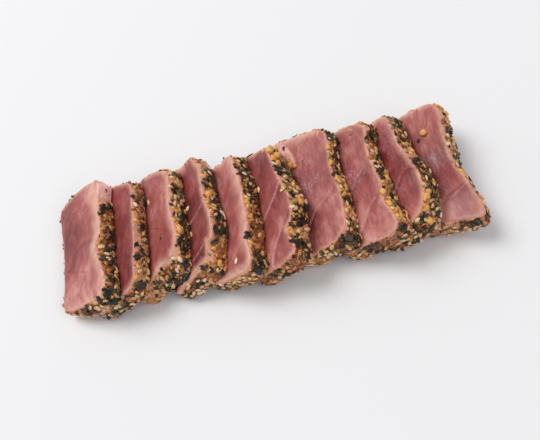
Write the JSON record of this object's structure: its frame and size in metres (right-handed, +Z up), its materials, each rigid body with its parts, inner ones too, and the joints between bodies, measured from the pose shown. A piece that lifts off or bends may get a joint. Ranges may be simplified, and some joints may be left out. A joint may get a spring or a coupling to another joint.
{
  "type": "sliced seared tuna steak",
  "caption": "Seared tuna steak with a sesame, seaweed and crumb crust, cut across into slices that lie overlapped in a row.",
  "frame": {"origin": "on the surface it lies on, under the middle of its bounding box", "axes": "+X along the row of slices, towards the side they lean to; +Y along each slice from its near end to its back end; +Z up"},
  "size_m": [0.1896, 0.0686, 0.0277],
  "materials": {
    "tuna_flesh": "moist raw flesh inside a pale seared rim",
    "sesame_seed": "toasted seed, dry with a slight sheen",
    "toasted_crumb": "dry golden crumb",
    "seaweed_flake": "dry crinkled flake, nearly black",
    "herb_flake": "dried green leaf"
  },
  "bodies": {
    "root": {"slice_01": "tuna_flesh", "slice_02": "tuna_flesh", "slice_03": "tuna_flesh", "slice_04": "tuna_flesh", "slice_05": "tuna_flesh", "slice_06": "tuna_flesh", "slice_07": "tuna_flesh", "slice_08": "tuna_flesh", "slice_09": "tuna_flesh", "slice_10": "tuna_flesh"}
  },
  "joints": []
}
